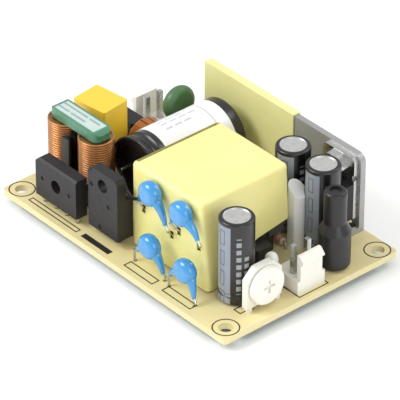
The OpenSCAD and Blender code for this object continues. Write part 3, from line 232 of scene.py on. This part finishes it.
# Materials
def plasticLook(name, color, roughness=0.5, grain=0.25, spread=0.15, **sockets):
    look = Look(name, color, roughness, **sockets)
    patches = look.noise(2.2, 3)
    fine = look.noise(0.12, 2)
    darker = tuple(c * (1 - spread) for c in look.color)
    look.set("Base Color", look.mix(patches, darker, look.color))
    look.set("Roughness", roughness - 0.1 + patches * 0.2)
    look.bump(fine, grain, 0.02)
    return look


def metalLook(name, color, roughness=0.3, spread=0.2, stretch=(1, 1, 1)):
    look = Look(name, color, roughness, 1.0)
    patches = look.noise(0.9, 3, stretch=stretch)
    darker = tuple(c * (1 - spread) for c in look.color)
    look.set("Base Color", look.mix(patches, darker, look.color))
    look.set("Roughness", roughness - 0.08 + patches * 0.2)
    look.bump(look.noise(0.25, 2, stretch=stretch), 0.15, 0.02)
    return look


def boardLook():
    settings = {
        "top": "e9dca6",
        "deep": "ddcd92",
        "edge": "e6ddb4",
        "under": "3f6b3a",
        "underDeep": "325a30",
    }
    look = Look("board laminate", settings["top"], 0.42)
    x, y, z = look.place()
    nz = look.facing()[2]
    weave = (x * 9).do("SINE") * (y * 9).do("SINE") * 0.5 + 0.5
    patches = look.noise(6, 4)
    top = look.mix(patches * 0.6 + weave * 0.15, settings["top"], settings["deep"])
    under = look.mix(look.noise(3, 3), settings["under"], settings["underDeep"])
    fibres = look.noise(0.5, 3, stretch=(0.15, 0.15, 3))
    edge = look.mix(fibres, settings["edge"], settings["deep"])
    color = look.mix(nz.above(0.5, 0.1), look.mix(nz.below(-0.5, 0.1), edge, under), top)
    look.set("Base Color", color)
    look.set("Roughness", 0.38 + patches * 0.12)
    look.bump(weave, 0.06, 0.02)
    return look


def greenCoreLook():
    settings = {"paint": "4f8d6d", "shade": "3b7156", "print": "c6d8d2", "mark": "7d8a90"}
    look = Look("painted ferrite", settings["paint"], 0.32, Coat_Weight=0.4, Coat_Roughness=0.2)
    x, y, z = look.place()
    nz = look.facing()[2]
    mid, half = boxMid("choke_core")
    patches = look.noise(1.4, 3)
    paint = look.mix(patches, settings["paint"], settings["shade"])
    field = nz.above(0.7, 0.2) * (x - mid.x).do("ABSOLUTE").below(half.x - 1.5, 0.3)
    field = field * (y - mid.y).do("ABSOLUTE").below(half.y - 0.55, 0.3) * z.above(mid.z)
    color = look.mix(field * (0.75 + patches * 0.25), paint, settings["print"])
    for offset, start, end in ((0.9, -7.4, 1.5), (0.9, 2.1, 5.6), (-0.7, -7.4, -3.2), (-0.7, -2.6, 2.4)):
        bar = (y - mid.y - offset).do("ABSOLUTE").below(0.28, 0.1) * (x - mid.x).between(start, end, 0.1)
        color = look.mix(bar * nz.above(0.7, 0.2) * z.above(mid.z) * 0.75, color, settings["mark"])
    look.set("Base Color", color)
    look.set("Roughness", 0.28 + patches * 0.18)
    look.bump(look.noise(0.7, 3), 0.2, 0.06)
    return look


def copperLook(name, color, deep, roughness=0.32):
    look = Look(name, color, roughness, 0.85, Coat_Weight=0.5, Coat_Roughness=0.15)
    x, y, z = look.place()
    patches = look.noise(1.6, 3, stretch=(1, 1, 2.5))
    look.set("Base Color", look.mix(patches, color, deep))
    look.set("Roughness", roughness - 0.08 + patches * 0.2)
    look.bump(look.noise(0.3, 2, stretch=(0.6, 0.6, 2)), 0.12, 0.02)
    return look


def tapeLook(name, color, deep, roughness=0.3, wrinkle=0.35, streak=(1, 1, 1)):
    look = Look(name, color, roughness, Coat_Weight=0.35, Coat_Roughness=0.18)
    broad = look.noise(7, 3, stretch=streak, warp=0.6)
    ripple = look.noise(1.6, 3, stretch=streak)
    look.set("Base Color", look.mix(broad * 0.8 + ripple * 0.2, color, deep))
    look.set("Roughness", roughness - 0.08 + ripple * 0.2)
    look.bump(broad, wrinkle, 0.5)
    look.bump(ripple, wrinkle * 0.5, 0.08)
    return look


def sleeveLook(name, axis, node, settings):
    # a shrink sleeve round a can, with a bare metal disc at its open end
    look = Look(name, settings["sleeve"], 0.3, Coat_Weight=0.3, Coat_Roughness=0.2)
    place = look.place()
    facing = look.facing()
    mid, half = boxMid(node)
    across = [i for i in range(3) if i != axis]
    u, v = (place[i] - mid[i] for i in across)
    along = place[axis] - mid[axis]
    radius = (u * u + v * v).do("SQRT")
    angle = v.do("ARCTAN2", u) * (180 / math.pi)
    patches = look.noise(1.2, 3)
    color = look.mix(patches, settings["sleeve"], settings["shade"])
    metal = radius.below(half[across[0]] * settings["disc"], 0.06) * along.above(half[axis] * 0.7)
    side = 1 - facing[axis].do("ABSOLUTE").above(0.5, 0.1)
    return look, along, angle, color, metal, side, patches, half


def outputCapacitorLook(node, stripeAt):
    settings = {
        "sleeve": "141316",
        "shade": "0e0d10",
        "disc": 0.76,  # share of the can's radius
        "metal": "f2f2f0",
        "metalDeep": "bfc0bd",
        "stripe": "8f97a3",
        "stripeDeep": "7f8793",
        "stripeWidth": 62,  # degrees
        "mark": "3a3d45",
        "markEvery": 5.2,
        "markHalf": (0.62, 1.75),
        "pale": "b9bdc2",
        "bars": ((58, -7.5, 7.0), (84, -7.5, 2.0), (-60, -6.0, 6.5)),  # degrees from the stripe, low, high
    }
    look, along, angle, color, metal, side, patches, half = sleeveLook(
        "can " + node[-1] + " sleeve", 2, node, settings)
    turned = (angle - stripeAt + 540).do("MODULO", 360) - 180
    stripe = turned.do("ABSOLUTE").below(settings["stripeWidth"] / 2, 1.5) * side
    stripe = stripe * along.below(half.z - 0.9, 0.1)
    color = look.mix(stripe, color, look.mix(patches, settings["stripe"], settings["stripeDeep"]))
    rows = (along + 100).do("MODULO", settings["markEvery"]) - settings["markEvery"] / 2
    arc = math.pi * half.x / 180  # millimetres round the can for one degree
    markWide, markHigh = settings["markHalf"]
    outline = (rows.do("ABSOLUTE") - markHigh).atLeast(turned.do("ABSOLUTE") * arc - markWide)
    frameLine = outline.do("ABSOLUTE").below(0.09, 0.05)
    color = look.mix(frameLine * stripe, color, settings["mark"])
    for at, low, high in settings["bars"]:
        swing = (turned - at).do("ABSOLUTE") * arc
        dash = (along + 100).do("MODULO", 1.9).between(0.35, 1.5, 0.1)
        bar = swing.below(0.55, 0.1) * along.between(low, high, 0.2) * side * dash
        color = look.mix(bar * 0.6, color, settings["pale"])
    color = look.mix(metal, color, look.mix(patches, settings["metal"], settings["metalDeep"]))
    look.set("Base Color", color)
    look.set("Metallic", metal)
    look.set("Roughness", 0.28 + patches * 0.12 + metal * 0.06)
    look.bump(look.noise(0.8, 2), 0.1, 0.05)
    return look


def bulkCapacitorLook():
    settings = {
        "sleeve": "171619",
        "shade": "100f12",
        "disc": 0.78,
        "metal": "cfcfcc",
        "label": "f1f1f2",
        "labelDeep": "e6e6ea",
        "print": "8b8d94",
        "from": -8.4,  # ends of the label along the can, from its middle
        "to": 10.2,
        "ringAt": 6.6,
        "bars": ((8, -5, 5), (20, -5, 3.4), (32, -5, 5), (44, -5, 1.5), (56, -5, 4.2), (-6, -5, 2.5)),
    }
    look, along, angle, color, metal, side, patches, half = sleeveLook(
        "bulk can sleeve", 1, "bulk_capacitor", settings)
    label = along.between(settings["from"], settings["to"], 0.08) * side
    color = look.mix(label, color, look.mix(patches, settings["label"], settings["labelDeep"]))
    arc = math.pi * half.x / 180
    for at, low, high in settings["bars"]:
        swing = ((angle - 90 - at + 540).do("MODULO", 360) - 180).do("ABSOLUTE") * arc
        dash = (along + 100).do("MODULO", 2.7).between(0.4, 2.4, 0.1)
        bar = swing.below(0.28, 0.1) * along.between(low, high, 0.2) * side * dash
        color = look.mix(bar * 0.55, color, settings["print"])
    ring = (along - settings["ringAt"]).do("ABSOLUTE").below(0.13, 0.06)
    color = look.mix(ring * label * 0.7, color, settings["print"])
    look.set("Base Color", look.mix(metal, color, settings["metal"]))
    look.set("Metallic", metal)
    look.set("Roughness", 0.3 + patches * 0.1 + label * 0.12)
    look.bump(look.noise(1.2, 2), 0.1, 0.06)
    return look


def discLook(name, color, deep, roughness, coat):
    look = Look(name, color, roughness, Coat_Weight=coat, Coat_Roughness=0.08)
    patches = look.noise(1.5, 3)
    look.set("Base Color", look.mix(patches, color, deep))
    look.set("Roughness", roughness - 0.05 + patches * 0.12)
    look.bump(look.noise(1.1, 2), 0.25, 0.12)
    look.bump(look.noise(0.3, 2), 0.1, 0.03)
    return look


def plateLook():
    settings = {"metal": "b4b5b5", "deep": "9c9d9d"}
    look = Look("rolled aluminium", settings["metal"], 0.42, 0.55)
    streaks = look.noise(0.5, 4, stretch=(0.03, 1, 1))
    patches = look.noise(5, 3)
    look.set("Base Color", look.mix(streaks * 0.5 + patches * 0.5, settings["metal"], settings["deep"]))
    look.set("Roughness", 0.36 + streaks * 0.16)
    look.bump(streaks, 0.12, 0.02)
    return look


def mixedLook(name, body, lead, mask):  # a moulded body and its tinned leads in one node
    look = Look(name, body, 0.5)
    isLead = mask(look)
    patches = look.noise(0.9, 3)
    darker = tuple(0.8 * c for c in tint(body))
    look.set("Base Color", look.mix(isLead, look.mix(patches, body, darker), lead))
    look.set("Metallic", isLead)
    look.set("Roughness", 0.5 - isLead * 0.2 + patches * 0.1)
    look.bump(look.noise(0.15, 2), 0.2, 0.02)
    return look


def leadBelow(height):  # the mask of what lies below a height, for mixedLook
    return lambda look: look.place()[2].below(height)


blackPlastic = plasticLook("black moulding", "1d1b1f", 0.5)
blackNylon = plasticLook("black nylon", "131315", 0.4)
tinned = metalLook("tinned wire", "c9c9c6", 0.28)
bright = metalLook("plated steel", "d2d2cf", 0.25)
board = boardLook()
greenCore = greenCoreLook()
coilCopper = copperLook("coil wire", "c38a52", "a36636")
toroidCopper = copperLook("toroid wire", "d08a45", "b5672a")
darkFerrite = plasticLook("bare ferrite", "45443f", 0.6)
filmBox = plasticLook("yellow moulding", "f0cb3c", 0.34, 0.1, 0.06, Coat_Weight=0.2)
nylon = plasticLook("white nylon", "edebe2", 0.42, 0.1, 0.04)
greenDisc = discLook("green disc coat", "4c7346", "3f6640", 0.45, 0.15)
blueDisc = discLook("blue disc coat", "3f9ad6", "2f86c4", 0.25, 0.8)
wrapTape = tapeLook("wrap tape", "f4eda6", "e9df86")
# the winding is the same tape as the wrap, given darker and more saturated colours as painted shade for
# where it sits in shadow inside the core
shadedWindingTape = tapeLook("winding tape with painted shade", "d9c64a", "c3ad35", 0.35, 0.2)
plateTape = tapeLook("plate tape", "e9e6a6", "dfdb94", 0.3, 0.15)
aluminium = plateLook()
lamp = plasticLook("frosted lens", "e9ebe4", 0.25, 0.05, 0.03, Coat_Weight=0.4)
silicone = plasticLook("silicone bead", "eeeeec", 0.55, 0.3, 0.05)
sleeve = plasticLook("shrink sleeve", "17161a", 0.42, 0.15, Coat_Weight=0.15)

painted = {
    board: ["circuit_board"],
    blackPlastic: ["bridge_rectifier", "switch_transistor", "rectifier_body", "controller_chip"],
    blackNylon: ["choke_bobbin", "transformer_bobbin", "fuse"],
    tinned: [
        "bridge_leads", "switch_leads", "choke_pins", "film_capacitor_leads", "thermistor_leads",
        "fuse_leads", "bulk_capacitor_leads", "transformer_pins", "y_capacitor_leads",
        "output_capacitor_leads", "heatsink_pins", "rectifier_leads", "output_choke_leads",
        "indicator_lamp_leads", "trimmer_terminals",
    ],
    bright: [
        "input_connector_pins", "output_connector_pins", "rectifier_tab", "rectifier_screw", "rectifier_nut",
    ],
    greenCore: ["choke_core"],
    coilCopper: ["choke_coil_left", "choke_coil_right"],
    toroidCopper: ["toroid_winding", "toroid_leads"],
    darkFerrite: ["toroid_core", "transformer_core", "chip_parts"],
    filmBox: ["film_capacitor"],
    nylon: ["input_connector", "output_connector", "trimmer_housing", "trimmer_rotor"],
    greenDisc: ["thermistor"],
    blueDisc: ["y_capacitor_1", "y_capacitor_2", "y_capacitor_3", "y_capacitor_4"],
    wrapTape: ["transformer_tape"],
    shadedWindingTape: ["transformer_winding"],
    plateTape: ["heatsink_tape"],
    aluminium: ["heatsink"],
    lamp: ["indicator_lamp"],
    silicone: ["adhesive"],
    sleeve: ["output_choke"],
    bulkCapacitorLook(): ["bulk_capacitor"],
    outputCapacitorLook("output_capacitor_1", -70): ["output_capacitor_1"],
    outputCapacitorLook("output_capacitor_2", -85): ["output_capacitor_2"],
    outputCapacitorLook("output_capacitor_3", -92): ["output_capacitor_3"],
    mixedLook("shunt regulator", "29282a", "c9c9c6", leadBelow(3.35)): ["shunt_regulator"],
}
for look, names in painted.items():
    for name in names:
        nodes[name].material_slots[0].material = look.material


def resistorLook():
    mid, half = boxMid("resistor")
    look = Look("coated resistor", "d9b09a", 0.4)
    x, y, z = look.place()
    body = (x - mid.x).do("ABSOLUTE").below(1.72)
    patches = look.noise(0.8, 2)
    color = look.mix(body, "c9c9c6", look.mix(patches, "dcb5a0", "cfa58f"))
    for at, band in ((-1.1, "7a4a2a"), (-0.5, "2a2a2a"), (0.1, "c8452e"), (1.1, "b08a3a")):
        color = look.mix((x - mid.x - at).do("ABSOLUTE").below(0.17), color, band)
    look.set("Base Color", color)
    look.set("Metallic", 1 - body)
    look.set("Roughness", 0.32 + patches * 0.1)
    return look


def optocouplerLook():
    mid, half = boxMid("optocoupler")
    look = Look("optocoupler", "e4e2da", 0.45)
    x, y, z = look.place()
    body = (x - mid.x).do("ABSOLUTE").below(3.12) * z.above(2.15)
    patches = look.noise(1, 2)
    look.set("Base Color", look.mix(body, "c9c9c6", look.mix(patches, "e8e6de", "dad8cf")))
    look.set("Metallic", 1 - body)
    look.set("Roughness", 0.35 + patches * 0.15)
    return look


nodes["resistor"].material_slots[0].material = resistorLook().material
nodes["optocoupler"].material_slots[0].material = optocouplerLook().material
print("materials done")

# Printed outlines on the board, as thin pieces that lie on it
printSettings = {
    "color": "24211c",
    "line": 0.28,
    "thickness": 0.03,
    "lift": 0.005,  # clearance over the board
    "ring": 3.1,  # outer radius of the ring round each hole
    "holes": ((-34.925, -22.225), (-34.925, 22.225), (34.925, -22.225), (34.925, 22.225)),
    "frames": (  # left, front, width, depth
        (-30.5, -23.8, 16.7, 1.2),
        (3, -23.9, 9.4, 2),
        (15.6, -23.7, 9.2, 2),
        (31.2, -16.6, 2, 9.5),
        (27.5, -2.9, 9.6, 8.4),
    ),
    "block": (-7.2, -23.3, 9.4, 1.5),  # middle x, middle y, width, depth
}
boardTop = 1.6


def activate(name, look):
    made = bpy.context.object
    made.name = name
    made.data.materials.append(look.material)
    return made


def addRing(x, y, settings):
    outer = settings["ring"]
    share = (outer - settings["line"]) / outer
    place = (x * mm, y * mm, (boardTop + settings["lift"]) * mm)
    bpy.ops.mesh.primitive_circle_add(vertices=48, radius=outer * mm, fill_type="NOTHING", location=place)
    bpy.ops.object.mode_set(mode="EDIT")
    bpy.ops.mesh.select_all(action="SELECT")
    bpy.ops.mesh.extrude_region_move()
    bpy.ops.transform.resize(value=(share, share, 1), center_override=(x * mm, y * mm, boardTop * mm))
    bpy.ops.mesh.select_all(action="SELECT")
    bpy.ops.mesh.extrude_region_move(TRANSFORM_OT_translate={"value": (0, 0, settings["thickness"] * mm)})
    bpy.ops.mesh.select_all(action="SELECT")
    bpy.ops.mesh.normals_make_consistent(inside=False)
    bpy.ops.object.mode_set(mode="OBJECT")
    return bpy.context.object


def addBar(x, y, width, depth, settings):
    height = settings["thickness"]
    middle = boardTop + settings["lift"] + height / 2
    bpy.ops.mesh.primitive_cube_add(size=1, location=(x * mm, y * mm, middle * mm))
    bpy.ops.transform.resize(value=(width * mm, depth * mm, height * mm))
    bpy.ops.object.transform_apply(location=False, rotation=False, scale=True)
    return bpy.context.object


def addFrame(left, front, width, depth, settings):
    line = settings["line"]
    long = [addBar(left + width / 2, y, width + line, line, settings) for y in (front, front + depth)]
    short = [addBar(x, front + depth / 2, line, depth - line, settings) for x in (left, left + width)]
    return long + short


def addPrint(settings):
    pieces = [addRing(x, y, settings) for x, y in settings["holes"]]
    for frameAt in settings["frames"]:
        pieces += addFrame(*frameAt, settings)
    pieces.append(addBar(*settings["block"], settings))
    for piece in pieces:
        piece.select_set(True)
    bpy.context.view_layer.objects.active = pieces[0]
    bpy.ops.object.join()
    made = activate("board_print", plasticLook("board print", settings["color"], 0.6))
    bpy.ops.object.transform_apply(location=True, rotation=True, scale=True)
    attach(made, "module")


# The sleeved lead of the first blue disc, led round the front end of the bulk capacitor to the board
leadSettings = {
    "color": "161618",
    "radius": 0.42,
    "route": (
        (3.2, -19.2, 17.2), (1.2, -19.0, 16.0), (-0.8, -18.2, 14.9), (-3.3, -17.3, 14.6),
        (-7.2, -15, 13.9), (-11.8, -12, 12.5), (-16, -9.3, 10.8), (-19.4, -7, 9.3),
        (-20.9, -6.58, 9.8), (-21.4, -6.58, 12), (-20.5, -6.58, 14.2), (-18.7, -6.58, 16.4),
        (-17.2, -6.58, 17.6), (-15, -6.58, 18.4), (-12.9, -6.58, 18.7), (-11, -6.58, 18.6),
        (-9.2, -6.58, 18.1), (-7.2, -6.58, 17), (-5.2, -6.58, 15), (-4.3, -6.58, 12),
        (-4.25, -6.58, 6), (-4.25, -6.58, 1.62),
    ),
}


def addLead(settings):
    curve = bpy.data.curves.new("lead", "CURVE")
    curve.dimensions = "3D"
    curve.bevel_depth = settings["radius"] * mm
    curve.bevel_resolution = 3
    curve.use_fill_caps = True
    spline = curve.splines.new("NURBS")
    spline.points.add(len(settings["route"]) - 1)
    for point, place in zip(spline.points, settings["route"]):
        point.co = (*(Vector(place) * mm), 1)
    spline.use_endpoint_u = True
    spline.order_u = 3
    made = bpy.data.objects.new("sleeved_lead", curve)
    bpy.context.scene.collection.objects.link(made)
    bpy.ops.object.select_all(action="DESELECT")
    made.select_set(True)
    bpy.context.view_layer.objects.active = made
    bpy.ops.object.convert(target="MESH")
    bpy.ops.object.shade_smooth()
    made = activate("sleeved_lead", plasticLook("lead sleeve", settings["color"], 0.3, 0.1))
    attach(made, "module")


addPrint(printSettings)
addLead(leadSettings)
print("print and lead done")

# Floor and light
stageSettings = {
    "size": 4.0,
    "drop": 0.00002,  # the floor lies this far below the clipped leads
    "sky": 0.72,
    "lamps": {  # place, width and power
        "key": ((-0.35, -0.55, 0.6), 0.5, 5.06),
        "fill": ((0.7, -0.1, 0.35), 0.5, 1.4),
        "rim": ((0.2, 0.6, 0.6), 0.4, 1.6),
    },
}


def addFloor(settings):
    bpy.ops.object.select_all(action="DESELECT")
    low = cadBounds[0]
    bpy.ops.mesh.primitive_plane_add(size=settings["size"], location=(0, 0, low[2] - settings["drop"]))
    floor = bpy.context.object
    floor.name = "floor"
    look = Look("floor", (1, 1, 1), 0.8)
    floor.data.materials.append(look.material)


def addLamp(name, place, size, power):
    data = bpy.data.lights.new(name, "AREA")
    data.energy = power
    data.shape = "DISK"
    data.size = size
    made = bpy.data.objects.new(name, data)
    bpy.context.scene.collection.objects.link(made)
    made.location = place
    made.rotation_euler = (Vector((0, 0, 0.01)) - Vector(place)).to_track_quat("-Z", "Y").to_euler()


def addWorld(settings):
    world = bpy.data.worlds.new("studio")
    bpy.context.scene.world = world
    world.use_nodes = True
    tree = world.node_tree
    path = tree.nodes.new("ShaderNodeLightPath")
    either = tree.nodes.new("ShaderNodeMath")
    either.operation = "MAXIMUM"
    tree.links.new(path.outputs["Is Camera Ray"], either.inputs[0])
    tree.links.new(path.outputs["Is Transmission Ray"], either.inputs[1])
    strength = tree.nodes.new("ShaderNodeMath")
    strength.operation = "MULTIPLY_ADD"
    tree.links.new(either.outputs[0], strength.inputs[0])
    strength.inputs[1].default_value = 1 - settings["sky"]
    strength.inputs[2].default_value = settings["sky"]
    background = tree.nodes["Background"]
    background.inputs["Color"].default_value = (1, 1, 1, 1)
    tree.links.new(strength.outputs[0], background.inputs["Strength"])


addFloor(stageSettings)
for name, lampAt in stageSettings["lamps"].items():
    addLamp(name, *lampAt)
addWorld(stageSettings)
bpy.context.scene.view_settings.view_transform = "Standard"
print("stage done")
